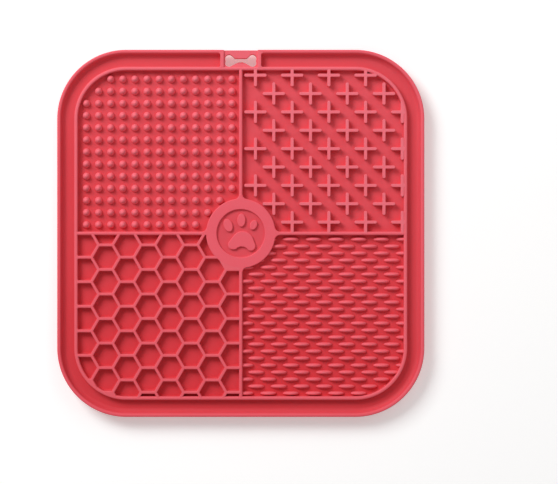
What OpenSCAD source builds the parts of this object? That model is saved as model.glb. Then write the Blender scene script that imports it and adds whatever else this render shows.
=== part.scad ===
// Square silicone lick mat: a rimmed sheet with a gutter, four relief fields round a centre medallion,
// and a hanging tab. It lies flat with its licking face up (+Z) and its hanging tab towards +Y.

/* [Mat] */
// Side of the square mat
mat_w = 200; // [190:1:230]
// Plan radius of the mat's outer corners
corner_r = 37.6; // [24:0.2:44]
// Thickness of the sheet under the relief
sheet_t = 2.4; // [1.8:0.1:4]
// Thickness of each field's own floor, let into the sheet
panel_t = 0.8; // [0.5:0.1:1.2]
// Height of the walls and ribs above the floor
relief_h = 4; // [3.4:0.1:6]

/* [Rim and gutter] */
// Thickness of the outer rim
rim_t = 2; // [1.6:0.1:3]
// Clear width of the gutter inside the rim
gutter_w = 7.3; // [5:0.1:10]
// Thickness of the wall between gutter and fields
wall_t = 1.9; // [1.6:0.1:3]
// Radius of the rounded edges along the tops of the rim and the walls
top_r = 0.75; // [0.3:0.05:0.8]
// Radius of the hollow where the rim meets the gutter floor
rim_foot_r = 2.6; // [1:0.1:3]
// Radius of the hollow where the inner wall meets the gutter floor
wall_foot_r = 0.9; // [0.5:0.1:1.5]

/* [Dividers and medallion] */
// Thickness of the four dividers
divider_t = 1.9; // [1.6:0.1:3]
// Radius of the centre medallion
medallion_r = 18.9; // [17:0.1:20]
// Plan radius of the corners between medallion and dividers
medallion_fillet_r = 2.8; // [1:0.1:4]
// Radius of the medallion's recess
recess_r = 13.1; // [12.6:0.1:14]
// Depth of the medallion's recess
recess_d = 1.4; // [0.8:0.1:2]
// Width of the sloping edge round the recess
recess_edge_w = 0.4; // [0.2:0.1:0.6]

/* [Paw] */
// Length of the middle and left toes
toe_l = 7.2; // [6:0.1:8]
// Length of the right toe
toe_short_l = 5.5; // [4.6:0.1:6.5]
// Width of the toes
toe_w = 4.5; // [3.5:0.1:4.7]
// Lean of the outer toes from upright
toe_lean = 20; // [0:1:30]
// Radius of the crown of the pad
pad_r = 6.1; // [5.5:0.1:6.4]
// Radius of the pad's two lower lobes
lobe_r = 2.6; // [2:0.1:3]

/* [Hanging tab] */
// Thickness of a post
post_t = 2; // [1.4:0.1:3]
// Plan radius in the gutter's corners at a post
post_fillet_r = 1.1; // [0.5:0.1:2]
// Drop from the post tops to the tab's plate
tab_drop = 1; // [0.5:0.1:2]
// Distance that the plate's edge stands back from the mat's edge
tab_edge_inset = 0.4; // [0.2:0.1:0.8]
// Length of the bone-shaped hole, from lobe to lobe
bone_l = 17.04; // [15:0.02:20]
// Width of the web between an end of the bone-shaped hole and a post
bone_end_web = 0.63; // [0.4:0.01:3]
// Height of the bone-shaped hole over its lobes
bone_h = 6.8; // [6.6:0.1:7.2]
// Radius of the hole's four lobes
bone_lobe_r = 2.2; // [2:0.05:2.3]
// Height of the hole's narrow middle
bone_shaft_h = 2.8; // [2:0.1:3]
// Drop of that middle below the middle of the four lobes
bone_shaft_drop = 0.1; // [0:0.05:0.2]
// Slope of the two flanks in the hole's upper edge
bone_top_slope = 45; // [35:1:60]
// Slope of the two flanks in the hole's lower edge
bone_low_slope = 31; // [25:1:45]
// Depth of the notch between two lobes at an end of the hole
bone_notch = 0.24; // [0:0.02:0.5]

/* [Nub field] */
// Distance between nubs
nub_pitch = 6.615; // [5.5:0.005:9]
// Distance from the inner wall to the middle of the first nub
nub_edge = 4.5; // [3.5:0.05:6]
// Diameter of a nub at its foot
nub_foot_d = 4.1; // [3:0.1:4.4]
// Diameter of a nub's round top
nub_top_d = 3.3; // [2:0.1:3.8]
// Height of a nub
nub_h = 3.4; // [2.6:0.1:4]
// Least gap between a nub and a wall
nub_gap = 0.3; // [0.2:0.05:1]

/* [Cross field] */
// Step between diagonal neighbours, along X and along Y
cross_step = 10; // [9:0.1:14]
// Span of a cross from tip to tip
cross_span = 12.2; // [9:0.1:13]
// Thickness of a cross's arms
cross_t = 1.7; // [1.2:0.1:2.4]
// Distance from the divider to the middle of the first cross
cross_edge_x = 7.05; // [6:0.05:9]
// Distance from the inner wall to the middle of the first row
cross_edge_y = 2.7; // [2:0.1:6]

/* [Honeycomb field] */
// Distance across one cell with its wall
cell_pitch = 13.37; // [11:0.01:18]
// Thickness of the cell walls at their tops
cell_wall_t = 1.5; // [1:0.05:2]
// How much thicker a cell wall is at its foot
cell_draft = 0.3; // [0.1:0.05:0.6]
// Width of the bevel along the tops of the cell walls
cell_bevel = 0.3; // [0.1:0.05:0.4]
// Distance from the left inner wall to the middle of the first column
cell_edge_x = 3.65; // [0:0.05:6]
// Distance from the field's upper edge up to the middle of the odd columns' first cell
cell_edge_y = 1.28; // [0:0.02:3]

/* [Ripple field] */
// Length of a ripple on the floor
ripple_l = 9; // [6:0.1:10]
// Width of a ripple on the floor
ripple_w = 2.2; // [1.6:0.1:3]
// Height of a ripple
ripple_h = 3; // [2:0.1:3.8]
// Radius of the round crest of a ripple
ripple_crest_r = 0.62; // [0.4:0.02:0.7]
// Distance between ripples in a row
ripple_pitch_x = 12.3; // [11:0.1:16]
// Distance between rows of ripples
ripple_pitch_y = 3.82; // [3.4:0.02:6]
// Distance from the divider to the middle of the first ripple
ripple_edge_x = 1.85; // [0:0.05:5]
// Shift of every other row of ripples
ripple_shift = 5.75; // [4:0.05:8]
// Distance from the divider to the first row of ripples
ripple_edge_y = 2.25; // [1.6:0.05:4]

/* [Suction cups] */
// Suction cups along each side
cups_per_side = 4; // [2:1:5]
// Distance between suction cups
cup_pitch = 46; // [34:1:46]
// Diameter of a cup's lip
cup_d = 32; // [20:1:33]
// Height of a cup under the sheet
cup_h = 3; // [2.6:0.1:6]
// Width of the flat ring on which a cup stands
cup_lip_w = 1.2; // [0.8:0.1:2]
// Thickness of a cup's lip
cup_lip_t = 0.6; // [0.4:0.1:1]
// Depth of a cup's hollow
cup_hollow = 1.7; // [1:0.1:2]
// Diameter of the neck that joins a cup to the sheet
cup_neck_d = 14; // [8:1:18]
// Height of the neck
cup_neck_h = 0.5; // [0.3:0.1:1]

/* [Hidden] */

$fn = 48;
// Straight steps that stand for each rounded edge of a section
arc_steps = 4;
// Height of the blunt end of a hollow foot
foot_toe = 0.1;
// Overrun of every cut
over = 1;
// How far relief reaches down into the floor that carries it
root_d = panel_t / 2;

silicone = "#df5665";

half_w = mat_w / 2;
plate_z = cup_h + sheet_t - panel_t;
floor_z = cup_h + sheet_t;
top_z = floor_z + relief_h;

wall_half = half_w - rim_t - gutter_w;
wall_corner_r = corner_r - rim_t - gutter_w;
field_half = wall_half - wall_t;
field_corner_r = wall_corner_r - wall_t;
field_corner_c = field_half - field_corner_r;

// Where a divider leaves the round corners that join it to the medallion
fillet_x = sqrt(pow(medallion_r + medallion_fillet_r, 2) - pow(divider_t / 2 + medallion_fillet_r, 2));

post_in = bone_l / 2 + bone_end_web;
post_out = post_in + post_t;

// Points on a circle's arc, in equal steps
function arc(cx, cy, r, from, to, steps = arc_steps) = [
    for (i = [0 : steps])
        let (a = from + (to - from) * i / steps)
        [cx + r * cos(a), cy + r * sin(a)]
];

// Section of a round-topped wall, with a hollow foot inside or outside, and a root below the floor
function wall_section(outer, t, foot_in, foot_out, root) = concat(
    [[outer - t, -root], [outer, -root]],
    foot_out > 0
        ? concat(
            [[outer, 0], [outer + foot_out, 0]],
            arc(outer + foot_out, foot_out + foot_toe, foot_out, 270, 180)
        )
        : [],
    arc(outer - top_r, relief_h - top_r, top_r, 0, 90),
    arc(outer - t + top_r, relief_h - top_r, top_r, 90, 180),
    foot_in > 0
        ? concat(
            arc(outer - t - foot_in, foot_in + foot_toe, foot_in, 0, -90),
            [[outer - t - foot_in, 0]]
        )
        : [],
    foot_in > 0 && root > 0 ? [[outer - t, 0]] : []
);

module rounded_square(half, r) {
    square([2 * half, 2 * (half - r)], center = true);
    square([2 * (half - r), 2 * half], center = true);
    for (x = [-1, 1], y = [-1, 1])
        translate([x * (half - r), y * (half - r)]) circle(r);
}

// Sweeps a section along X, with the section's own x counted from the line y = off
module run(from, to, off) {
    translate([from, off, floor_z])
        rotate([90, 0, 90])
            linear_extrude(to - from) children();
}

// Sweeps the first section round a rounded square. Along the top side the second section takes over
// within plain_half of the middle, and nothing is drawn within gap_half of it.
module wall_loop(half, r, plain_half, gap_half) {
    off = half - r;
    for (turn = [0 : 3])
        rotate([0, 0, 90 * turn])
            translate([off, off, floor_z])
                rotate_extrude(angle = 90) children(0);
    for (turn = [1 : 3])
        rotate([0, 0, 90 * turn])
            run(-off, off, off) children(0);
    for (side = [0, 1])
        mirror([side, 0, 0]) {
            run(plain_half, off, off) children(0);
            run(gap_half, plain_half, off) children(1);
        }
}

// The medallion with its four stubs. Three quarters have round corners, and the honeycomb's has none.
module medallion_outline() {
    circle(medallion_r, $fn = 96);
    square([2 * fillet_x, divider_t], center = true);
    square([divider_t, 2 * fillet_x], center = true);
    for (quarter = [0, 1, 3])
        rotate([0, 0, 90 * quarter])
            for (flip = [0, 1])
                rotate([0, 0, 45]) mirror([0, flip, 0]) rotate([0, 0, -45])
                    difference() {
                        polygon([[0, 0], [fillet_x, 0], [fillet_x, divider_t / 2 + medallion_fillet_r]]);
                        translate([fillet_x, divider_t / 2 + medallion_fillet_r]) circle(medallion_fillet_r);
                    }
}

// Floor outline of one field: turn 0 is upper right, and each turn goes a quarter round to the left
module field_outline(turn) {
    difference() {
        intersection() {
            rounded_square(field_half, field_corner_r);
            rotate([0, 0, 90 * turn])
                translate([divider_t / 2, divider_t / 2]) square(field_half);
        }
        medallion_outline();
    }
}

module field_floor(turn) {
    translate([0, 0, plate_z]) linear_extrude(panel_t) field_outline(turn);
}

// Everything that may stand on a field's floor, from its roots up to the wall tops
module field_space(turn) {
    translate([0, 0, floor_z - root_d]) linear_extrude(root_d + relief_h) field_outline(turn);
}

// Bone-shaped outline of the hanging hole, about its own middle
module bone_outline() {
    lobe_x = bone_l / 2 - bone_lobe_r;
    lobe_y = bone_h / 2 - bone_lobe_r;
    shaft_top = bone_shaft_h / 2 - bone_shaft_drop;
    shaft_low = -bone_shaft_h / 2 - bone_shaft_drop;
    // A flank leaves its lobe where the circle has the flank's slope, and runs in to the shaft
    top_x = lobe_x - bone_lobe_r * sin(bone_top_slope);
    top_y = lobe_y + bone_lobe_r * cos(bone_top_slope);
    low_x = lobe_x - bone_lobe_r * sin(bone_low_slope);
    low_y = -lobe_y - bone_lobe_r * cos(bone_low_slope);
    for (x = [-1, 1], y = [-1, 1])
        translate([x * lobe_x, y * lobe_y]) circle(bone_lobe_r);
    for (side = [0, 1])
        mirror([side, 0]) {
            polygon([
                [0, shaft_top], [top_x - (top_y - shaft_top) / tan(bone_top_slope), shaft_top],
                [top_x, top_y], [lobe_x, lobe_y], [lobe_x, -lobe_y], [low_x, low_y],
                [low_x - (shaft_low - low_y) / tan(bone_low_slope), shaft_low], [0, shaft_low],
            ]);
            translate([lobe_x, -lobe_y]) square([bone_lobe_r - bone_notch, 2 * lobe_y]);
        }
}

// Web between the inner wall and the hole, and from it the place of the hole's middle
bone_web = 0.1;
bone_y = wall_half + bone_web + bone_h / 2;

module bone_cut() {
    translate([0, bone_y, cup_h - over]) linear_extrude(top_z) bone_outline();
}

// The sheet, with a shallow recess that takes the field floors and the roots of the inner walls
module base_sheet() {
    color(silicone)
        difference() {
            translate([0, 0, cup_h]) linear_extrude(sheet_t) rounded_square(half_w, corner_r);
            translate([0, 0, plate_z])
                linear_extrude(panel_t + over) rounded_square(wall_half, wall_corner_r);
            bone_cut();
        }
}

module outer_rim() {
    color(silicone)
        wall_loop(half_w, corner_r, post_out + post_fillet_r, post_out) {
            polygon(wall_section(corner_r, rim_t, rim_foot_r, 0, 0));
            polygon(wall_section(corner_r, rim_t, 0, 0, 0));
        }
}

module inner_wall() {
    color(silicone)
        wall_loop(wall_half, wall_corner_r, post_out + post_fillet_r, 0) {
            polygon(wall_section(wall_corner_r, wall_t, 0, wall_foot_r, panel_t));
            polygon(wall_section(wall_corner_r, wall_t, 0, 0, panel_t));
        }
}

// A divider runs from its medallion stub to the inner wall
module divider(turn) {
    color(silicone)
        rotate([0, 0, 90 * turn])
            run(fillet_x, field_half, 0)
                polygon(wall_section(divider_t / 2, divider_t, 0, 0, panel_t));
}

module divider_right() {
    divider(0);
}

module divider_top() {
    divider(1);
}

module divider_left() {
    divider(2);
}

module divider_bottom() {
    divider(3);
}

module medallion() {
    color(silicone)
        difference() {
            translate([0, 0, plate_z]) linear_extrude(panel_t + relief_h) medallion_outline();
            translate([0, 0, top_z - recess_d]) cylinder(h = recess_d + over, r = recess_r);
            translate([0, 0, top_z - recess_edge_w])
                cylinder(h = 2 * recess_edge_w, r1 = recess_r, r2 = recess_r + 2 * recess_edge_w);
        }
}

// An upright oval toe about its own middle: two wide side arcs that run into round ends
module toe(l) {
    end_r = toe_w * toe_end_share;
    end_y = l / 2 - end_r;
    side_r = (pow(toe_w / 2, 2) + pow(end_y, 2) - pow(end_r, 2)) / (toe_w - 2 * end_r);
    side_x = side_r - toe_w / 2;
    meet_y = end_y * side_r / (side_r - end_r);
    intersection() {
        translate([-side_x, 0]) circle(side_r);
        translate([side_x, 0]) circle(side_r);
        square([toe_w, 2 * meet_y], center = true);
    }
    for (y = [-end_y, end_y])
        translate([0, y]) circle(end_r);
}

module pad() {
    offset(r = pad_round_r) offset(r = -pad_round_r)
        difference() {
            hull() {
                translate([pad_x + crown_dx, pad_y]) circle(pad_r);
                translate([pad_x - lobe_dx, pad_y - lobe_dy]) circle(lobe_r);
                translate([pad_x + lobe_dx, pad_y - lobe_dy - lobe_skew]) circle(lobe_r);
            }
            translate([pad_x, pad_y - pad_r - pad_notch_r + pad_notch_d]) circle(pad_notch_r);
        }
}

// Places of the pad's crown, its lobes and its notch, and of the toes
pad_x = 0.5;
pad_y = -4.9;
crown_dx = 0.45;
lobe_dx = 4.95;
lobe_dy = 1.3;
lobe_skew = 0.7;
pad_notch_d = 3.8;
pad_notch_r = 4.3;
toe_mid_x = 0.3;
toe_mid_y = 7.2;
toe_side_x = 6.9;
toe_side_y = 4.4;
// Radius of a toe's round ends, as a share of its width
toe_end_share = 0.38;
// Radius that rounds the pad's corners, and the sides of its blended circles
pad_round_r = 0.7;
pad_fn = 32;

module paw_relief() {
    color(silicone)
        translate([0, 0, top_z - recess_d])
            linear_extrude(recess_d) {
                pad($fn = pad_fn);
                translate([toe_mid_x, toe_mid_y]) toe(toe_l);
                translate([-toe_side_x, toe_side_y]) rotate([0, 0, toe_lean]) toe(toe_l);
                translate([toe_side_x, toe_side_y]) rotate([0, 0, -toe_lean]) toe(toe_short_l);
            }
}

module hang_tab() {
    color(silicone)
        difference() {
            translate([-post_in, wall_half, floor_z])
                cube([2 * post_in, half_w - tab_edge_inset - wall_half, relief_h - tab_drop]);
            bone_cut();
        }
}

// The right post, with its round corners in the gutter
module post() {
    translate([0, 0, floor_z])
        linear_extrude(relief_h) {
            translate([post_in, wall_half]) square([post_t, half_w - wall_half]);
            for (side = [0, 1])
                translate([post_out, side ? half_w - rim_t : wall_half])
                    mirror([0, side])
                        difference() {
                            square(post_fillet_r);
                            translate([post_fillet_r, post_fillet_r]) circle(post_fillet_r);
                        }
        }
}

module tab_post_right() {
    color(silicone) post();
}

module tab_post_left() {
    color(silicone) mirror([1, 0, 0]) post();
}

// A tapered pin with a round top that ends in a small flat, standing with its root in the floor
module nub() {
    foot_r = nub_foot_d / 2;
    crown_r = nub_top_d / 2;
    crown = arc(0, nub_h - crown_r * sin(crown_to), crown_r, 0, crown_to);
    rotate_extrude()
        polygon(concat([[0, -root_d], [foot_r, -root_d]], crown, [[0, nub_h]]));
}

// Angle round the crown's circle at which its small flat begins
crown_to = 75;

// Is a round thing of this radius clear of the inner wall's corner and of the medallion?
function clear_of_walls(x, y, r) =
    norm([x, y]) > medallion_r + r
    && (abs(x) < field_corner_c || abs(y) < field_corner_c
        || norm([abs(x) - field_corner_c, abs(y) - field_corner_c]) < field_corner_r - r);

module nub_panel() {
    keep_r = nub_foot_d / 2 + nub_gap;
    last = floor((field_half - nub_edge - divider_t / 2 - keep_r) / nub_pitch);
    color(silicone)
        union() {
            field_floor(1);
            for (i = [0 : last], j = [0 : last])
                let (x = -field_half + nub_edge + i * nub_pitch, y = field_half - nub_edge - j * nub_pitch)
                if (clear_of_walls(x, y, keep_r))
                    translate([x, y, floor_z]) nub();
        }
}

// A round-topped bar along X with round ends, standing on the floor with its root in it
module bar() {
    half_l = cross_span / 2 - cross_t / 2;
    translate([-half_l, 0, 0])
        rotate([90, 0, 90])
            linear_extrude(2 * half_l) polygon(bar_section(-1));
    for (x = [-1, 1])
        translate([x * half_l, 0, 0])
            rotate_extrude() polygon(bar_section(0));
}

// Section of a cross's arm: from -1 for the whole width, or from 0 for its outer half
function bar_section(from) = concat(
    [[from * cross_t / 2, -root_d], [cross_t / 2, -root_d]],
    arc(cross_t / 2 - bar_top_r, relief_h - bar_top_r, bar_top_r, 0, 90, bar_steps),
    from < 0
        ? arc(bar_top_r - cross_t / 2, relief_h - bar_top_r, bar_top_r, 90, 180, bar_steps)
        : [[0, relief_h]]
);

// The top edges of the crosses are rounded off to a narrow flat, in this many straight steps
bar_flat_w = 0.34;
bar_top_r = (cross_t - bar_flat_w) / 2;
bar_steps = 3;

module cross() {
    bar();
    rotate([0, 0, 90]) bar();
}

module cross_panel() {
    rows = floor((field_half - cross_edge_y) / cross_step);
    columns = ceil(field_half / (2 * cross_step));
    color(silicone)
        union() {
            field_floor(0);
            intersection() {
                union()
                    for (k = [0 : rows], i = [0 : columns])
                        let (x = divider_t / 2 + cross_edge_x + (2 * i + k % 2) * cross_step,
                             y = field_half - cross_edge_y - k * cross_step)
                        if (norm([x, y]) > medallion_r && x < field_half && min(x, y) > 0
                            && norm([max(x - field_corner_c, 0), max(y - field_corner_c, 0)]) < field_corner_r)
                            translate([x, y, floor_z]) cross();
                field_space(0);
            }
        }
}

// A six-sided cell's hollow, wider at its mouth, about its own middle
module cell() {
    foot_r = (cell_pitch - cell_wall_t - cell_draft) / sqrt(3);
    bevel_r = (cell_pitch - cell_wall_t) / sqrt(3);
    cylinder(h = relief_h - cell_bevel, r1 = foot_r, r2 = bevel_r, $fn = 6);
    translate([0, 0, relief_h - cell_bevel])
        cylinder(h = 2 * cell_bevel, r1 = bevel_r, r2 = bevel_r + 4 * cell_bevel / sqrt(3), $fn = 6);
}

// Cells that the real mat leaves filled, as column and row
filled_cells = [[7, 1], [0, 6], [1, 7]];

module honeycomb_panel() {
    column_pitch = cell_pitch * sqrt(3) / 2;
    columns = floor((field_half - cell_edge_x) / column_pitch);
    rows = ceil(field_half / cell_pitch);
    color(silicone)
        difference() {
            translate([0, 0, plate_z]) linear_extrude(panel_t + relief_h) field_outline(2);
            for (i = [0 : columns], j = [0 : rows])
                let (x = -field_half + cell_edge_x + i * column_pitch,
                     y = -divider_t / 2 + cell_edge_y - (j + (i % 2 ? 0 : 1 / 2)) * cell_pitch)
                if (len([for (c = filled_cells) if (c == [i, j]) c]) == 0)
                    translate([x, y, floor_z]) cell();
        }
}

// A ripple is the top of a thin lens-shaped wheel that stands in the floor. Each side is part of a
// circle from its widest place, just above the floor, to the shoulder of the round crest.
module ripple() {
    wheel_r = (pow(ripple_l / 2, 2) + pow(ripple_h, 2)) / (2 * ripple_h);
    sunk = wheel_r - ripple_h;
    hub_r = sunk + ripple_foot_h;
    crest = arc(wheel_r - ripple_crest_r, 0, ripple_crest_r, crest_from, 0, crest_steps);
    shoulder = crest[0];
    side_c = (pow(hub_r, 2) + pow(ripple_w / 2, 2) - pow(shoulder[0], 2) - pow(shoulder[1], 2))
        / (ripple_w - 2 * shoulder[1]);
    side_r = norm([hub_r, ripple_w / 2 - side_c]);
    sides = [
        for (i = [0 : crest_steps - 1])
            let (x = hub_r + (shoulder[0] - hub_r) * i / crest_steps)
            [x, side_c + sqrt(pow(side_r, 2) - pow(x, 2))]
    ];
    half = concat([[0, ripple_w / 2]], sides, crest);
    translate([0, 0, -sunk])
        rotate([90, 0, 0])
            rotate_extrude()
                polygon(concat(half, [for (i = [len(half) - 2 : -1 : 0]) [half[i][0], -half[i][1]]]));
}

// Angle round the crest's circle at which the sides run into it smoothly, in this many straight steps
crest_from = 70;
crest_steps = 2;
// Height of a ripple's upright foot
ripple_foot_h = 0.2;

module ripple_panel() {
    first_y = -divider_t / 2 - ripple_edge_y;
    rows = floor((field_half + first_y - ripple_w / 2) / ripple_pitch_y);
    columns = floor((field_half + ripple_l / 2) / ripple_pitch_x);
    color(silicone)
        union() {
            field_floor(3);
            intersection() {
                union()
                    for (j = [0 : rows], i = [0 : columns])
                        translate([
                            divider_t / 2 + ripple_edge_x + i * ripple_pitch_x + (j % 2) * ripple_shift,
                            first_y - j * ripple_pitch_y,
                            floor_z,
                        ])
                            ripple();
                field_space(3);
            }
        }
}

// A shallow cup. Its hollow is part of a ball, with a small flat in the middle.
module suction_cup() {
    lip_in = cup_d / 2 - cup_lip_w;
    flat_r = cup_neck_d / 4;
    ball_z = (pow(flat_r, 2) + pow(cup_hollow, 2) - pow(lip_in, 2)) / (2 * cup_hollow);
    ball_r = norm([lip_in, ball_z]);
    rotate_extrude()
        polygon(concat(
            [[0, cup_hollow]],
            [
                for (i = [0 : arc_steps])
                    let (x = flat_r + (lip_in - flat_r) * i / arc_steps)
                    [x, ball_z + sqrt(pow(ball_r, 2) - pow(x, 2))]
            ],
            [
                [cup_d / 2, 0], [cup_d / 2, cup_lip_t],
                [cup_neck_d / 2, cup_h - cup_neck_h], [cup_neck_d / 2, cup_h], [0, cup_h],
            ]
        ));
}

module suction_cups() {
    first = -(cups_per_side - 1) / 2 * cup_pitch;
    color(silicone)
        for (i = [0 : cups_per_side - 1], j = [0 : cups_per_side - 1])
            translate([first + i * cup_pitch, first + j * cup_pitch, 0]) suction_cup();
}

base_sheet();
outer_rim();
inner_wall();
divider_top();
divider_bottom();
divider_left();
divider_right();
medallion();
paw_relief();
hang_tab();
tab_post_left();
tab_post_right();
nub_panel();
cross_panel();
honeycomb_panel();
ripple_panel();
suction_cups();
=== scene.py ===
import math

import bmesh
import bpy
from mathutils import Matrix, Vector


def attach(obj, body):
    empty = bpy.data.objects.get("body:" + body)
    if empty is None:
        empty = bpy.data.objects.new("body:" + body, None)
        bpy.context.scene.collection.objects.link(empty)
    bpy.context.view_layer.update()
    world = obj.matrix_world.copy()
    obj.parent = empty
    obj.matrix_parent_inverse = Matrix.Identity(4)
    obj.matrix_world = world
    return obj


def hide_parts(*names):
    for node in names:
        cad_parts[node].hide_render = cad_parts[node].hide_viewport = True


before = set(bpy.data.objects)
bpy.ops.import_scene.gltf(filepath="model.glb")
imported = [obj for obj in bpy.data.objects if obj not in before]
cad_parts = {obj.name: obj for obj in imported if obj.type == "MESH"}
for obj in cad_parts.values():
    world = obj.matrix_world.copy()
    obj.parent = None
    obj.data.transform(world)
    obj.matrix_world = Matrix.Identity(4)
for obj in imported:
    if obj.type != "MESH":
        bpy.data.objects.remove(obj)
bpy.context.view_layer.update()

scene = bpy.context.scene

# The studio. The mat lies on a plain pale floor, lit by one soft window from the upper left and
# two weak fills. The camera looks straight down, with the mat a little left of the middle. The air
# looks brighter than it shines, so a low view has a pale backdrop. Sizes here are in metres.
floor_half = 3.0
paper_glow = 0.27
air_tint = (1.0, 0.9, 0.89)
air_light = 0.215
backdrop_light = 0.95
mat_h = 0.0094
lens_height = 0.94
frame_w = 0.3037
mat_left = 0.0208
mat_up = 0.0047

floor_mesh = bpy.data.meshes.new("studio_floor")
bm = bmesh.new()
bmesh.ops.create_grid(bm, x_segments=1, y_segments=1, size=floor_half)
bm.to_mesh(floor_mesh)
bm.free()
floor = bpy.data.objects.new("studio_floor", floor_mesh)
scene.collection.objects.link(floor)
paper = bpy.data.materials.new("studio_paper")
paper.use_nodes = True
paper_face = paper.node_tree.nodes["Principled BSDF"].inputs
paper_face["Base Color"].default_value = (0.94, 0.98, 0.98, 1)
paper_face["Roughness"].default_value = 0.6
paper_face["Emission Color"].default_value = (1, 1, 1, 1)
paper_face["Emission Strength"].default_value = paper_glow
floor_mesh.materials.append(paper)

air = bpy.data.worlds.new("studio_air")
scene.world = air
air.use_nodes = True
background = air.node_tree.nodes["Background"].inputs
background["Color"].default_value = (*air_tint, 1)
sight = air.node_tree.nodes.new("ShaderNodeLightPath")
haze = air.node_tree.nodes.new("ShaderNodeMapRange")
haze.inputs["To Min"].default_value = air_light
haze.inputs["To Max"].default_value = backdrop_light
air.node_tree.links.new(sight.outputs["Is Camera Ray"], haze.inputs["Value"])
air.node_tree.links.new(haze.outputs["Result"], background["Strength"])
scene.view_settings.view_transform = "Standard"


def soft_lamp(name, at, size, watts, tint=(1, 1, 1)):
    """A wide lamp that hangs at this place and faces the middle of the mat."""
    light = bpy.data.lights.new(name, "AREA")
    light.shape = "RECTANGLE"
    light.size, light.size_y = size
    light.energy = watts
    light.color = tint
    lamp = bpy.data.objects.new(name, light)
    lamp.location = at
    lamp.rotation_euler = (-Vector(at)).to_track_quat("-Z", "Y").to_euler()
    scene.collection.objects.link(lamp)


soft_lamp("upper_left_window", at=(-0.85, 0.87, 1.05), size=(0.77, 0.72), watts=18.8)
soft_lamp("upper_right_fill", at=(0.7, 0.95, 1.0), size=(1.3, 1.1), watts=4.4, tint=air_tint)
soft_lamp("lower_fill", at=(0.1, -0.95, 1.0), size=(1.3, 1.1), watts=2.2, tint=air_tint)

lens = bpy.data.cameras.new("straight_above")
lens.sensor_width = 36
lens.lens = 36 * lens_height / frame_w
lens.shift_x = mat_left / frame_w
lens.shift_y = -mat_up / frame_w
camera = bpy.data.objects.new("straight_above", lens)
camera.location = (0, 0, mat_h + lens_height)
scene.collection.objects.link(camera)
scene.camera = camera

# The sheet. The whole mat is one thick silicone moulding, and this is its body: a square with
# round corners, flat on top, with its lower edge softened and the bone-shaped hole cut through.
# Sizes are in millimetres from here on, and moulded() turns each finished mesh into metres.
mm = 0.001
floor_top = 5.4
sheet_t = 2.4
half_w = 100
corner_r = 37.6
corner_steps = 40
lower_edge_r = 0.5
hole_at = (0, 94.2, 0)
# Each piece of the one silicone has its own pair of raised and hollow colours, set lighter or
# darker from piece to piece as painted light, to match how brightly that piece is lit
coral_raised, coral_hollow = (0.95, 0.16, 0.205), (0.72, 0.052, 0.069)

sheet_corners = [(x * half_w, y * half_w, corner_r)
                 for x, y in ((-1, -1), (1, -1), (1, 1), (-1, 1))]

# The hole's outline about its own middle: (x, y, radius) corners, from its right end over the top
bone_corners = [(8.28, 0, 0.5), (9.17, 3.4, 2.15), (5.41, 3.4, 2.15), (3.31, 1.3, 0.9),
                (-3.31, 1.3, 0.9), (-5.41, 3.4, 2.15), (-9.17, 3.4, 2.15), (-8.28, 0, 0.5),
                (-9.17, -3.4, 2.15), (-5.71, -3.4, 2.15), (-2.55, -1.5, 1.2), (2.55, -1.5, 1.2),
                (5.71, -3.4, 2.15), (9.17, -3.4, 2.15)]

# At the level of the sheet, the hole's lower edge rises in a low hill
low_bone_corners = (bone_corners[:10]
                    + [(-3.1, -1.75, 0.8), (-1.5, -0.78, 2.4), (1.5, -0.78, 2.4), (3.1, -1.75, 0.8)]
                    + bone_corners[12:])


def rounded_face(bm, corners, z, steps):
    """A flat face at height z through these (x, y, radius) corners, each one rounded."""
    verts = [bm.verts.new((x, y, z)) for x, y, r in corners]
    bm.faces.new(verts)
    for i, (x, y, r) in enumerate(corners):
        if r:
            here = Vector((x, y))
            back = Vector(corners[i - 1][:2]) - here
            ahead = Vector(corners[(i + 1) % len(corners)][:2]) - here
            bmesh.ops.bevel(bm, geom=[verts[i]], offset=r / math.tan(back.angle(ahead) / 2),
                            offset_type="OFFSET", segments=steps, profile=0.5,
                            affect="VERTICES", material=-1)


def verts_of(geom):
    return [v for v in geom if isinstance(v, bmesh.types.BMVert)]


def thicken(bm, height):
    """Draws the flat faces out to a solid of this height, downwards where it is negative."""
    drawn = bmesh.ops.extrude_face_region(bm, geom=bm.faces[:])["geom"]
    bmesh.ops.translate(bm, vec=(0, 0, height), verts=verts_of(drawn))


def pierced_plate(bm, corners, steps, hole, top, thickness):
    """A flat plate with the hanging hole in it, from its top face down."""
    rounded_face(bm, hole, top, 5)
    bmesh.ops.translate(bm, vec=hole_at, verts=bm.verts)
    rounded_face(bm, corners, top, steps)
    bmesh.ops.delete(bm, geom=bm.faces[:], context="FACES_ONLY")
    bmesh.ops.triangle_fill(bm, use_beauty=True, edges=bm.edges[:])
    thicken(bm, -thickness)


def edges_at(bm, z, keep=lambda p: True):
    """The edges at this height where a level face meets an upright one."""
    bm.normal_update()
    height_slack, turn = 0.001, 0.5
    return [e for e in bm.edges
            if all(abs(v.co.z - z) < height_slack and keep(v.co) for v in e.verts)
            and len(e.link_faces) == 2
            and abs(abs(e.link_faces[0].normal.z) - abs(e.link_faces[1].normal.z)) > turn]


def soften(bm, edges, r, steps=4):
    """Rounds these edges over, as the mould's own edges are."""
    bmesh.ops.bevel(bm, geom=edges, offset=r, offset_type="OFFSET", segments=steps, profile=0.5,
                    affect="EDGES", clamp_overlap=True, material=-1)


def moulded(bm, name, material, crease=38):
    """Closes up a mesh made in millimetres and turns it into a piece of the mat, in metres."""
    bmesh.ops.remove_doubles(bm, verts=bm.verts, dist=0.0005)
    bmesh.ops.recalc_face_normals(bm, faces=bm.faces)
    bmesh.ops.scale(bm, vec=(mm, mm, mm), verts=bm.verts)
    mesh = bpy.data.meshes.new(name)
    bm.to_mesh(mesh)
    bm.free()
    mesh.shade_smooth()
    mesh.set_sharp_from_angle(angle=math.radians(crease))
    mesh.materials.append(material)
    piece = bpy.data.objects.new(name, mesh)
    scene.collection.objects.link(piece)
    return piece


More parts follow.
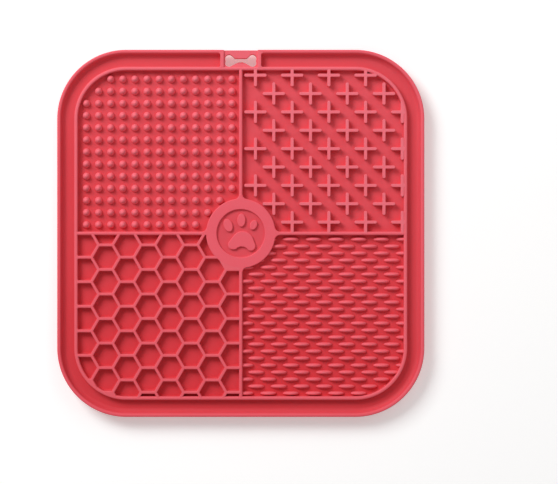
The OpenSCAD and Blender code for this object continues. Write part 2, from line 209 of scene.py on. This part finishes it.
def even_shading(piece):
    """Keeps the large flats flat where they meet a rounded edge."""
    flats = piece.modifiers.new("even_shading", "WEIGHTED_NORMAL")
    flats.keep_sharp = True
    flats.weight = 100


def coral_silicone(name, raised, hollow, low, high, roughness, grain):
    """Coral silicone, deep coral in the hollows, at the height low, and paler up to the height
    high: painted shade low down and a painted highlight on the raised parts. It is also painted
    paler towards the hanging hole, as painted light, and has the fine even skin that the mould
    leaves. A little red light passes under its surface."""
    skin = bpy.data.materials.new(name)
    skin.use_nodes = True
    nodes, links = skin.node_tree.nodes, skin.node_tree.links
    shader = nodes["Principled BSDF"].inputs
    place = nodes.new("ShaderNodeTexCoord").outputs["Object"]

    def mottled(scale, detail):
        spots = nodes.new("ShaderNodeTexNoise")
        spots.inputs["Scale"].default_value = scale
        spots.inputs["Detail"].default_value = detail
        links.new(place, spots.inputs["Vector"])
        return spots.outputs["Fac"]

    def ranged(value, least, most):
        span = nodes.new("ShaderNodeMapRange")
        span.inputs["To Min"].default_value = least
        span.inputs["To Max"].default_value = most
        links.new(value, span.inputs["Value"])
        return span

    def added(one, other):
        total = nodes.new("ShaderNodeMath")
        links.new(one, total.inputs[0])
        links.new(other, total.inputs[1])
        return total.outputs["Value"]

    axes = nodes.new("ShaderNodeSeparateXYZ")
    links.new(place, axes.inputs["Vector"])
    # Painted shade and highlight: the colour runs from the darker hollow colour low down to the
    # paler raised colour up high, standing in for shade in the hollows and light on the tops
    # The rise keeps off both ends of the ramp, which leaves room for the slow changes
    rise = ranged(axes.outputs["Z"], 0.15, 0.85)
    rise.interpolation_type = "SMOOTHSTEP"
    rise.inputs["From Min"].default_value = low * mm
    rise.inputs["From Max"].default_value = high * mm
    sway = ranged(mottled(26, 3), -0.05, 0.05)
    # Painted light: this slope pales the colour towards the hanging hole, standing in for brighter
    # light falling there
    slope = nodes.new("ShaderNodeVectorMath")
    slope.operation = "DOT_PRODUCT"
    slope.inputs[1].default_value = (0.6, 1.5, 0)
    links.new(place, slope.inputs[0])
    fade = added(slope.outputs["Value"], sway.outputs["Result"])
    painted_shade_and_tone = added(rise.outputs["Result"], fade)
    blend = nodes.new("ShaderNodeValToRGB")
    blend.color_ramp.elements[0].color = (*hollow, 1)
    blend.color_ramp.elements[1].color = (*raised, 1)
    links.new(painted_shade_and_tone, blend.inputs["Fac"])
    links.new(blend.outputs["Color"], shader["Base Color"])

    gloss = ranged(mottled(90, 2), roughness - 0.04, roughness + 0.05)
    links.new(gloss.outputs["Result"], shader["Roughness"])
    pores = nodes.new("ShaderNodeBump")
    pores.inputs["Strength"].default_value = grain
    pores.inputs["Distance"].default_value = 0.00004
    links.new(mottled(2600, 2), pores.inputs["Height"])
    links.new(pores.outputs["Normal"], shader["Normal"])
    shader["Specular IOR Level"].default_value = 0.2
    shader["Subsurface Weight"].default_value = 0.1
    shader["Subsurface Radius"].default_value = (1.0, 0.2, 0.16)
    shader["Subsurface Scale"].default_value = 0.001
    return skin


bm = bmesh.new()
pierced_plate(bm, sheet_corners, corner_steps, low_bone_corners, floor_top, sheet_t)
soften(bm, edges_at(bm, floor_top - sheet_t), lower_edge_r, 3)
sheet_skin = coral_silicone("sheet_silicone", coral_raised, coral_hollow, low=5.3, high=9.3,
                            roughness=0.60, grain=0.25)
sheet = moulded(bm, "sheet", sheet_skin)
even_shading(sheet)
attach(sheet, "root")
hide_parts("base_sheet")

# The rim. It stands round the edge of the sheet as part of the same moulding, with a round top
# and a wide hollow foot towards the gutter, and it is open where the hanging tab sits.
relief_h = 4
top_z = floor_top + relief_h
rim_t = 2
rim_outer_r = 0.65
rim_inner_r = 0.9
gutter_w = 7.3
gutter_foot_w = 3
gutter_foot_r = 2.6
post_out = 11.15
open_half = post_out - 1
root_z = -0.5    # how deep a wall's foot is sunk in the sheet
root_in = 0.4    # how far the rim's foot leans in there, to stay within the sheet
toe_z = -0.03    # where the hollow of a foot runs out, just under the floor


def wall_section(bm, corners, x):
    """The closed outline of a wall's section, standing across Y at x, from (y, height, radius)."""
    rounded_face(bm, corners, 0, 5)
    stand = Matrix(((0, 0, 1, x), (1, 0, 0, 0), (0, 1, 0, floor_top), (0, 0, 0, 1)))
    bmesh.ops.transform(bm, matrix=stand, verts=bm.verts)
    bmesh.ops.delete(bm, geom=bm.faces[:], context="FACES_ONLY")


def carry(bm, tip, step):
    """Draws the section on in a straight line."""
    return bmesh.ops.spin(bm, geom=tip, cent=(0, 0, 0), axis=(0, 0, 1), dvec=step, angle=0,
                          steps=1)["geom_last"]


def carry_round(bm, half, r):
    """Draws the section clockwise round the square, from one side of the tab to the other."""
    flat = half - r
    tip = carry(bm, bm.verts[:] + bm.edges[:], (flat - open_half, 0, 0))
    for side, centre in enumerate(((flat, flat, 0), (flat, -flat, 0), (-flat, -flat, 0),
                                   (-flat, flat, 0))):
        tip = bmesh.ops.spin(bm, geom=tip, cent=centre, axis=(0, 0, 1), dvec=(0, 0, 0),
                             angle=-math.pi / 2, steps=corner_steps)["geom_last"]
        if side < 3:
            turned = Matrix.Rotation(-math.pi / 2 * (side + 1), 3, "Z")
            tip = carry(bm, tip, turned @ Vector((2 * flat, 0, 0)))
    carry(bm, tip, (flat - open_half, 0, 0))


def close_ends(bm):
    """Puts a flat face over each open end."""
    bmesh.ops.holes_fill(bm, edges=[e for e in bm.edges if e.is_boundary], sides=0)


bm = bmesh.new()
inside = half_w - rim_t
gutter_toe = inside - gutter_foot_w
wall_section(bm, [(half_w - root_in, root_z, 0), (half_w, -0.02, 0),
                  (half_w, relief_h, rim_outer_r), (inside, relief_h, rim_inner_r),
                  (inside, 0, gutter_foot_r), (gutter_toe, toe_z, 0), (gutter_toe, root_z, 0)],
             open_half)
carry_round(bm, half_w, corner_r)
close_ends(bm)
rim_skin = coral_silicone("rim_silicone", (0.94, 0.137, 0.178), (0.72, 0.058, 0.077), low=5.4,
                          high=9.2, roughness=0.56, grain=0.2)
rim = moulded(bm, "rim", rim_skin)
even_shading(rim)
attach(rim, "root")
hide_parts("outer_rim")

# The inner wall. It keeps the treats on the four fields, with the gutter outside it. It is part
# of the moulding, has a round top, and runs into the floors on both sides in small hollows.
wall_half = half_w - rim_t - gutter_w
wall_r = corner_r - rim_t - gutter_w
wall_t = 1.9
wall_top_r = 0.72
foot_w = 0.6
foot_r = 0.4
outer_foot_w = 1.4
outer_foot_r = 0.9
end_lap = 0.7
hair = 0.01      # keeps two walls that overlap from sharing a face
inner = wall_half - wall_t


def field_side(slack):
    """The wall's section from its top to its foot in the field, slimmer by this much."""
    top = relief_h - slack
    return [(wall_half, top, wall_top_r), (inner + slack, top, wall_top_r),
            (inner + slack, 0, foot_r), (inner - foot_w, toe_z - slack, 0),
            (inner - foot_w, root_z, 0)]


def join(bm, part):
    """Adds another mesh to this one."""
    passing = bpy.data.meshes.new("passing")
    part.to_mesh(passing)
    part.free()
    bm.from_mesh(passing)
    bpy.data.meshes.remove(passing)


bm = bmesh.new()
gutter_side = [(wall_half + outer_foot_w, root_z, 0), (wall_half + outer_foot_w, toe_z, 0),
               (wall_half, 0, outer_foot_r)]
wall_section(bm, gutter_side + field_side(0), open_half)
carry_round(bm, wall_half, wall_r)
beside_tab = bmesh.new()
wall_section(beside_tab, [(wall_half, root_z, 0)] + field_side(hair), end_lap - post_out)
carry(beside_tab, beside_tab.verts[:] + beside_tab.edges[:], (2 * (post_out - end_lap), 0, 0))
join(bm, beside_tab)
close_ends(bm)
wall_skin = coral_silicone("inner_wall_silicone", (0.96, 0.174, 0.22), (0.72, 0.045, 0.06),
                           low=5.4, high=9.2, roughness=0.56, grain=0.2)
wall = moulded(bm, "inner_wall_rib", wall_skin)
even_shading(wall)
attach(wall, "root")
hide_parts("inner_wall")

# The four dividers. Straight ribs of the same silicone that part the fields, each moulded in one
# with the medallion at its inner end and with the inner wall at its outer end.
divider_t = 1.9
half_t = divider_t / 2
divider_h = relief_h - 0.005
divider_lap = 0.6
medallion_r = 18.9
fillet_r = 2.8
stub_x = math.sqrt((medallion_r + fillet_r) ** 2 - (half_t + fillet_r) ** 2)
divider_skin = coral_silicone("divider_silicone", coral_raised, coral_hollow, low=5.4, high=9.2,
                              roughness=0.56, grain=0.2)

for turn, node in enumerate(("divider_right", "divider_top", "divider_left", "divider_bottom")):
    bm = bmesh.new()
    one_side = [(half_t + foot_w, root_z, 0), (half_t + foot_w, toe_z, 0), (half_t, 0, foot_r),
                (half_t, divider_h, wall_top_r)]
    other_side = [(-y, z, r) for y, z, r in reversed(one_side)]
    wall_section(bm, one_side + other_side, stub_x - divider_lap)
    carry(bm, bm.verts[:] + bm.edges[:], (wall_half - wall_t / 2 - stub_x + divider_lap, 0, 0))
    close_ends(bm)
    bmesh.ops.rotate(bm, cent=(0, 0, 0), matrix=Matrix.Rotation(turn * math.pi / 2, 3, "Z"),
                     verts=bm.verts)
    rib = moulded(bm, node + "_rib", divider_skin)
    even_shading(rib)
    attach(rib, "root")
    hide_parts(node)

# The medallion. A round boss of the moulding in the middle, as high as the walls, with a shallow
# round recess. Its corners with the dividers are rounded in plan, but not beside the honeycomb.
recess_r = 13.1
recess_d = 1.4
recess_floor = top_z - recess_d
boss_root = 0.4
boss_edge_r = 0.6
honeycomb_quarter = 2
medallion_raised, medallion_hollow = (0.96, 0.142, 0.187), (0.76, 0.078, 0.104)


def draw_arc(bm, tip, centre, degrees, steps):
    """Draws an outline on round this centre in plan."""
    return bmesh.ops.spin(bm, geom=tip, cent=(*centre, 0), axis=(0, 0, 1), dvec=(0, 0, 0),
                          angle=math.radians(degrees), steps=steps)["geom_last"]


def lathe(bm, outline, steps):
    """Turns an outline of (radius, height) points once round the upright axis."""
    points = [bm.verts.new((r, 0, z)) for r, z in outline]
    lines = [bm.edges.new(pair) for pair in zip(points, points[1:])]
    bmesh.ops.spin(bm, geom=points + lines, cent=(0, 0, 0), axis=(0, 0, 1), dvec=(0, 0, 0),
                   angle=2 * math.pi, steps=steps, use_merge=True)


bm = bmesh.new()
fillet_turn = math.degrees(math.atan2(half_t + fillet_r, stub_x))
side_x = math.sqrt(medallion_r ** 2 - half_t ** 2)
tip = [bm.verts.new((stub_x, -half_t, floor_top - boss_root))]
for quarter in range(4):
    turned = Matrix.Rotation(quarter * math.pi / 2, 3, "Z")
    tip = carry(bm, tip, turned @ Vector((0, divider_t, 0)))
    if quarter != honeycomb_quarter:
        before = (turned @ Vector((stub_x, half_t + fillet_r, 0)))[:2]
        after = (turned @ Vector((half_t + fillet_r, stub_x, 0)))[:2]
        tip = draw_arc(bm, tip, before, fillet_turn - 90, 8)
        tip = draw_arc(bm, tip, (0, 0), 90 - 2 * fillet_turn, 24)
        tip = draw_arc(bm, tip, after, fillet_turn - 90, 8)
    else:
        tip = carry(bm, tip, turned @ Vector((side_x - stub_x, 0, 0)))
        tip = draw_arc(bm, tip, (0, 0), 90 - 2 * math.degrees(math.asin(half_t / medallion_r)), 28)
        tip = carry(bm, tip, turned @ Vector((0, stub_x - side_x, 0)))
bmesh.ops.remove_doubles(bm, verts=bm.verts, dist=0.001)
bmesh.ops.edgeloop_fill(bm, edges=bm.edges[:])
thicken(bm, relief_h + boss_root)
soften(bm, edges_at(bm, top_z), boss_edge_r, 5)
bm.normal_update()
ring_top = max(bm.faces, key=lambda f: f.calc_center_median().z)
bmesh.ops.delete(bm, geom=[ring_top], context="FACES_ONLY")
lathe(bm, [(recess_r + 0.42, top_z), (recess_r + 0.22, top_z - 0.05),
           (recess_r + 0.08, top_z - 0.2), (recess_r - 0.02, top_z - 0.45),
           (recess_r - 0.12, recess_floor + 0.22), (recess_r - 0.24, recess_floor + 0.06),
           (recess_r - 0.5, recess_floor), (0, recess_floor)], 96)
bmesh.ops.triangle_fill(bm, use_beauty=True, edges=[e for e in bm.edges if len(e.link_faces) < 2])
medallion_skin = coral_silicone("medallion_silicone", medallion_raised, medallion_hollow, low=7.9,
                                high=9.3, roughness=0.60, grain=0.3)
medallion = moulded(bm, "medallion_boss", medallion_skin)
even_shading(medallion)
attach(medallion, "root")
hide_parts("medallion")

# The paw. A pad and three toes stand in the recess, level with the ring round them. They are flat
# on top, with soft edges, and part of the same moulding. Each toe is (x, y, length, width, lean).
paw_top = top_z - 0.04
paw_root = recess_floor - 0.2
toe_edge_r = 0.42
pad_edge_r = 0.45
notch_corner_r = 0.7
toes = ((-6.9, 4.4, 7.3, 4.8, 20), (0.3, 7.2, 7.3, 4.5, 0), (6.9, 4.6, 5.6, 3.9, -24))


def raise_relief(bm, to, r):
    """Draws a flat outline up to its top and softens the edge there."""
    lifted = verts_of(bmesh.ops.extrude_face_region(bm, geom=bm.faces[:])["geom"])
    bmesh.ops.translate(bm, vec=(0, 0, to - lifted[0].co.z), verts=lifted)
    soften(bm, edges_at(bm, to), r)


paw = bmesh.new()
for x, y, length, width, lean in toes:
    bm = bmesh.new()
    bmesh.ops.create_circle(bm, cap_ends=True, segments=32, radius=0.5)
    bmesh.ops.scale(bm, vec=(width, length, 1), verts=bm.verts)
    bmesh.ops.rotate(bm, cent=(0, 0, 0), matrix=Matrix.Rotation(math.radians(lean), 3, "Z"),
                     verts=bm.verts)
    bmesh.ops.translate(bm, vec=(x, y, paw_root), verts=bm.verts)
    raise_relief(bm, paw_top, toe_edge_r)
    join(paw, bm)

# The pad's outline runs over its broad top, round the left lobe, through the notch below and
# round the right lobe. Each arc has its own centre and turn.
bm = bmesh.new()
right_lobe_foot = (5.267, -9.494)
tip = [bm.verts.new((6.655, -2.74, paw_root))]
tip = draw_arc(bm, tip, (0.95, -4.9), 121.86, 16)
tip = carry(bm, tip, (-2.619, -3.426, 0))
tip = draw_arc(bm, tip, (-4.45, -6.2), 123.36, 12)
notch_left = tip = carry(bm, tip, (1.697, -0.12, 0))
notch_right = tip = draw_arc(bm, tip, (0.5, -11.5), -114.05, 5)
tip = carry(bm, tip, (right_lobe_foot[0] - tip[0].co.x, right_lobe_foot[1] - tip[0].co.y, 0))
tip = draw_arc(bm, tip, (5.45, -6.9), 114.78, 12)
bm.verts.ensure_lookup_table()
bm.edges.new((tip[0], bm.verts[0]))
bmesh.ops.edgeloop_fill(bm, edges=bm.edges[:])
bmesh.ops.bevel(bm, geom=notch_left + notch_right, offset=notch_corner_r, offset_type="OFFSET",
                segments=4, profile=0.5, affect="VERTICES", material=-1)
raise_relief(bm, paw_top, pad_edge_r)
join(paw, bm)
paw_skin = coral_silicone("paw_silicone", medallion_raised, medallion_hollow, low=7.9, high=9.2,
                          roughness=0.58, grain=0.25)
paw_piece = moulded(paw, "paw", paw_skin)
even_shading(paw_piece)
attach(paw_piece, "root")
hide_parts("paw_relief")

# The hanging tab. A plate of the moulding bridges the gutter between two posts, a millimetre lower
# than their tops. The bone-shaped hole goes down through it and the sheet, for a hook.
tab_top = top_z - 1
tab_half = 9.4
tab_in = 90
tab_out = 99.6
hole_edge_r = 0.22

bm = bmesh.new()
pierced_plate(bm, [(-tab_half, tab_in, 0), (tab_half, tab_in, 0), (tab_half, tab_out, 0),
                   (-tab_half, tab_out, 0)], 1, bone_corners, tab_top, tab_top - floor_top)
round_hole = edges_at(bm, tab_top, lambda p: abs(p.x) < tab_half - 0.1 and p.y > tab_in + 0.3)
soften(bm, round_hole, hole_edge_r, 3)
tab_skin = coral_silicone("tab_silicone", coral_raised, coral_hollow, low=5.4, high=8.8,
                          roughness=0.60, grain=0.3)
tab = moulded(bm, "hanging_tab", tab_skin)
even_shading(tab)
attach(tab, "root")
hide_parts("hang_tab")

# The two posts. Short ribs of the moulding that end the gutter on each side of the tab. Their
# corners with the rim and the inner wall are rounded in plan, and their ends are hidden in both.
post_in = 9.15
post_top = top_z - 0.006
post_corner_r = 0.8
post_edge_r = 0.48
outer_corner_r = (0.6, 0.5)
arm_end = post_out + 0.85
in_wall = 90
in_rim = 99
outer_face = 99.98
let_in = 0.3    # how deep the posts and the fields' own floors go into the sheet


def outside_walls(edge):
    """Whether a post's top edge can be seen beside the rim and the inner wall."""
    middle = (edge.verts[0].co + edge.verts[1].co) / 2
    return middle.y > in_wall + 0.1 and abs(middle.x) < arm_end - 0.01


post_skin = coral_silicone("post_silicone", coral_raised, coral_hollow, low=5.4, high=9.2,
                           roughness=0.56, grain=0.2)

for side, node in ((1, "tab_post_right"), (-1, "tab_post_left")):
    bm = bmesh.new()
    rounded_face(bm, [(post_in, in_wall, 0), (arm_end, in_wall, 0), (arm_end, wall_half, 0),
                      (post_out, wall_half, post_corner_r), (post_out, inside, post_corner_r),
                      (arm_end, inside, 0), (arm_end, in_rim, 0), (post_out, in_rim, 0),
                      (post_out, outer_face, outer_corner_r[0]),
                      (post_in, outer_face, outer_corner_r[1])], floor_top - let_in, 6)
    bmesh.ops.scale(bm, vec=(side, 1, 1), verts=bm.verts)
    thicken(bm, post_top - floor_top + let_in)
    soften(bm, [e for e in edges_at(bm, post_top) if outside_walls(e)], post_edge_r)
    post = moulded(bm, node + "_rib", post_skin)
    even_shading(post)
    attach(post, "root")
    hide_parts(node)

# The nub field. Rows of soft round pins at the upper left, each with a slight taper and a ball
# top, moulded on a thin floor that is let into the sheet. They leave out the places that the round
# corner and the medallion take up.
field_half = wall_half - wall_t
field_r = wall_r - wall_t
corner_c = field_half - field_r
floor_rise = 0.006
nub_rows = 13
nub_pitch = 6.625
first_nub = (4.5, 4.6)
nub_room_r = 2.35
nub_outline = [(0, -0.4), (2.3, -0.4), (2.26, -0.02), (2.12, 0.08), (2.06, 0.36), (1.98, 0.98),
               (1.83, 1.55), (1.6, 2.1), (1.3, 2.58), (0.92, 2.98), (0.47, 3.27), (0, 3.4)]
smooth_crease = 60


def clear_of_walls(x, y, r):
    """Whether a pin of this radius stands free in its field."""
    beside = abs(x) < corner_c or abs(y) < corner_c
    in_corner = math.hypot(abs(x) - corner_c, abs(y) - corner_c) < field_r - r
    return math.hypot(x, y) > medallion_r + r and (beside or in_corner)


def set_out(bm, places):
    """Copies the one shape in the mesh to each of these places, and takes the first one away."""
    first = bm.verts[:] + bm.edges[:] + bm.faces[:]
    for place in places:
        copy = bmesh.ops.duplicate(bm, geom=first)["geom"]
        bmesh.ops.translate(bm, vec=place, verts=verts_of(copy))
    bmesh.ops.delete(bm, geom=verts_of(first), context="VERTS")


def field_block(quarter, height):
    """The space over one field, out to the middle of the walls, with a bite for the medallion."""
    bite, bite_r = 16, 15.9
    out = wall_half - wall_t / 2
    bm = bmesh.new()
    rounded_face(bm, [(0, bite, 0), (bite, bite, bite_r), (bite, 0, 0), (out, 0, 0),
                      (out, out, wall_r - wall_t / 2), (0, out, 0)], floor_top - let_in, 20)
    bmesh.ops.rotate(bm, cent=(0, 0, 0), matrix=Matrix.Rotation(quarter * math.pi / 2, 3, "Z"),
                     verts=bm.verts)
    thicken(bm, height)
    return moulded(bm, "field_block", sheet_skin)


def lay_floor(piece, quarter):
    """Puts the field's own floor under its relief, a hair above the sheet."""
    block = field_block(quarter, let_in + floor_rise)
    bm = bmesh.new()
    bm.from_mesh(piece.data)
    bm.from_mesh(block.data)
    bm.to_mesh(piece.data)
    bm.free()
    bpy.data.objects.remove(block)


bm = bmesh.new()
lathe(bm, nub_outline, 18)
nub_places = [(-field_half + first_nub[0] + i * nub_pitch,
               field_half - first_nub[1] - j * nub_pitch)
              for i in range(nub_rows) for j in range(nub_rows)]
set_out(bm, [(x, y, floor_top) for x, y in nub_places if clear_of_walls(x, y, nub_room_r)])
nub_skin = coral_silicone("nub_silicone", (0.96, 0.2, 0.25), (0.74, 0.046, 0.062), low=5.3,
                          high=7.0, roughness=0.55, grain=0.15)
nubs = moulded(bm, "nub_field", nub_skin, smooth_crease)
lay_floor(nubs, 1)
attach(nubs, "root")
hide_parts("nub_panel")

# The cross field. Slim silicone plus signs in a diagonal pattern at the upper right, as high as
# the walls and run into them where they meet. Their ends and tops are round.
cross_root = -0.35
cross_half = 6.1
arm = 0.85
arm_end_r = 0.8
arm_corner_r = 0.25
arm_top_r = 0.62
cross_rows, crosses_across = 9, 5
first_cross = (8, 2.7)
cross_pitch = 10
relief_top = relief_h - 0.015    # a hair under the walls, so that no two faces share a place
block_h = 6


def keep_within(piece, block, crease=38):
    """Cuts the relief back to the walls that frame its field."""
    trim = piece.modifiers.new("trim", "BOOLEAN")
    trim.operation = "INTERSECT"
    trim.solver = "EXACT"
    trim.object = block
    bpy.context.view_layer.update()
    seen = piece.evaluated_get(bpy.context.evaluated_depsgraph_get())
    cut = bpy.data.meshes.new_from_object(seen)
    piece.modifiers.clear()
    piece.data = cut
    cut.set_sharp_from_angle(angle=math.radians(crease))
    bpy.data.objects.remove(block)


bm = bmesh.new()
rounded_face(bm, [(arm, arm, arm_corner_r), (arm, cross_half, arm_end_r),
                  (-arm, cross_half, arm_end_r), (-arm, arm, arm_corner_r),
                  (-cross_half, arm, arm_end_r), (-cross_half, -arm, arm_end_r),
                  (-arm, -arm, arm_corner_r), (-arm, -cross_half, arm_end_r),
                  (arm, -cross_half, arm_end_r), (arm, -arm, arm_corner_r),
                  (cross_half, -arm, arm_end_r), (cross_half, arm, arm_end_r)], cross_root, 4)
raise_relief(bm, relief_top, arm_top_r)
cross_places = [(first_cross[0] + (2 * i + k % 2) * cross_pitch,
                 field_half - first_cross[1] - k * cross_pitch)
                for k in range(cross_rows) for i in range(crosses_across)]
set_out(bm, [(x, y, floor_top) for x, y in cross_places
             if math.hypot(x, y) > medallion_r and x < field_half and y > 0
             and math.hypot(max(x - corner_c, 0), max(y - corner_c, 0)) < field_r])
cross_skin = coral_silicone("cross_silicone", (0.98, 0.205, 0.257), (0.78, 0.062, 0.082), low=5.4,
                            high=9.2, roughness=0.56, grain=0.18)
crosses = moulded(bm, "cross_field", cross_skin)
keep_within(crosses, field_block(0, block_h))
lay_floor(crosses, 0)
even_shading(crosses)
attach(crosses, "root")
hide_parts("cross_panel")

# The honeycomb field. Six-sided cells at the lower left, with silicone walls as high as the
# dividers. A few slivers beside the walls are left full, as the mould leaves them.
cell_pitch = 13.37
column_pitch = cell_pitch * math.sqrt(3) / 2
cell_columns, cell_rows = range(-1, 9), range(-1, 8)
first_cell = (3.65, 1.28)
filled_cells = ((7, 1), (0, 6), (1, 7))
cell_root = 0.6
# One cell from its upper edge down to its floor, as steps of (inwards, down)
cell_steps = ((0.44, 0), (0.16, 0.05), (0.12, 0.16), (0.06, 0.25), (0.12, 3.1), (0.12, 0.25),
              (0.2, 0.12), (0.3, 0.03))

bm = bmesh.new()
for i in cell_columns:
    for j in cell_rows:
        row = j + (0 if i % 2 else 0.5)
        place = Matrix.Translation((-field_half + first_cell[0] + i * column_pitch,
                                    -half_t + first_cell[1] - row * cell_pitch,
                                    floor_top + relief_top))
        bmesh.ops.create_circle(bm, cap_ends=True, segments=6, radius=cell_pitch / math.sqrt(3),
                                matrix=place @ Matrix.Rotation(math.pi / 6, 4, "Z"))
        bm.faces.ensure_lookup_table()
        if (i, j) not in filled_cells:
            cell = [bm.faces[-1]]
            cell[0].normal_update()
            down = -1 if cell[0].normal.z > 0 else 1
            for inwards, drop in cell_steps:
                bmesh.ops.inset_individual(bm, faces=cell, thickness=inwards, depth=down * drop,
                                           use_even_offset=True)
bmesh.ops.remove_doubles(bm, verts=bm.verts, dist=0.01)
lower = bmesh.ops.extrude_edge_only(bm, edges=[e for e in bm.edges if e.is_boundary])["geom"]
for v in verts_of(lower):
    v.co.z = floor_top - cell_root
close_ends(bm)
cell_skin = coral_silicone("honeycomb_silicone", (0.95, 0.165, 0.21), (0.72, 0.05, 0.067),
                           low=5.4, high=9.2, roughness=0.57, grain=0.2)
cells = moulded(bm, "honeycomb_field", cell_skin)
keep_within(cells, field_block(2, block_h))
even_shading(cells)
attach(cells, "root")
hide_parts("honeycomb_panel")

# The ripple field. Rows of small lens-shaped ridges at the lower right, lower than the walls, set
# like bricks on a thin floor of the same silicone. Each is the top of a thin wheel with a round
# crest.
ripple_h = 3
ripple_half = 4.6
ripple_foot = 1.15
flank, flank_up, flank_r = 0.95, 1.9, 1.4
crest_r = 0.42
hub = 0.2
sector_start, sector_turn = math.radians(-160), math.radians(140)
wheel_r = (ripple_half ** 2 + ripple_h ** 2) / (2 * ripple_h)
sunk = wheel_r - ripple_h
ripple_rows, ripples_across = 23, 8
first_ripple = (1.72, 2.35)
ripple_pitch = 12.35
row_pitch = 3.82
row_shift = 5.75

bm = bmesh.new()
rounded_face(bm, [(hub, -ripple_foot, 0), (sunk, -ripple_foot, 0),
                  (sunk + flank_up, -flank, flank_r), (wheel_r, -crest_r, crest_r),
                  (wheel_r, crest_r, crest_r), (sunk + flank_up, flank, flank_r),
                  (sunk, ripple_foot, 0), (hub, ripple_foot, 0)], 0, 4)
bmesh.ops.rotate(bm, cent=(0, 0, 0), matrix=Matrix.Rotation(sector_start, 3, "Y"),
                 verts=bm.verts)
bmesh.ops.spin(bm, geom=bm.verts[:] + bm.edges[:] + bm.faces[:], cent=(0, 0, 0), axis=(0, 1, 0),
               dvec=(0, 0, 0), angle=sector_turn, steps=12)
ripple_places = [(half_t + first_ripple[0] + i * ripple_pitch + j % 2 * row_shift,
                  -half_t - first_ripple[1] - j * row_pitch, floor_top - sunk)
                 for j in range(ripple_rows) for i in range(ripples_across)]
set_out(bm, ripple_places)
ripple_skin = coral_silicone("ripple_silicone", (0.97, 0.186, 0.236), (0.73, 0.038, 0.051),
                             low=5.3, high=6.6, roughness=0.55, grain=0.15)
ripples = moulded(bm, "ripple_field", ripple_skin, smooth_crease)
keep_within(ripples, field_block(3, block_h), smooth_crease)
lay_floor(ripples, 3)
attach(ripples, "root")
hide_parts("ripple_panel")

# The suction cups. Sixteen shallow cups under the sheet hold the mat on a smooth floor or wall.
# Each hangs on a short neck and thins out to a soft lip, all in the same silicone.
cup_pitch = 46
cup_rows = 4
# One cup from the middle of its hollow, out over its lip and back up to its neck
cup_outline = [(0, 1.7), (3.5, 1.7), (6.5, 1.52), (9.5, 1.12), (12.4, 0.55), (14.5, 0.06),
               (14.8, 0), (15.75, 0), (15.96, 0.1), (16, 0.3), (15.9, 0.52), (15.6, 0.68),
               (11.2, 1.75), (7.6, 2.5), (7.15, 2.68), (7, 2.9), (7, 3.3), (0, 3.3)]

bm = bmesh.new()
lathe(bm, cup_outline, 40)
middle_row = (cup_rows - 1) / 2
set_out(bm, [((i - middle_row) * cup_pitch, (j - middle_row) * cup_pitch, 0)
             for i in range(cup_rows) for j in range(cup_rows)])
cup_skin = coral_silicone("cup_silicone", coral_raised, coral_hollow, low=0.0, high=3.0,
                          roughness=0.46, grain=0.08)
cups = moulded(bm, "suction_cup_set", cup_skin)
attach(cups, "root")
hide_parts("suction_cups")
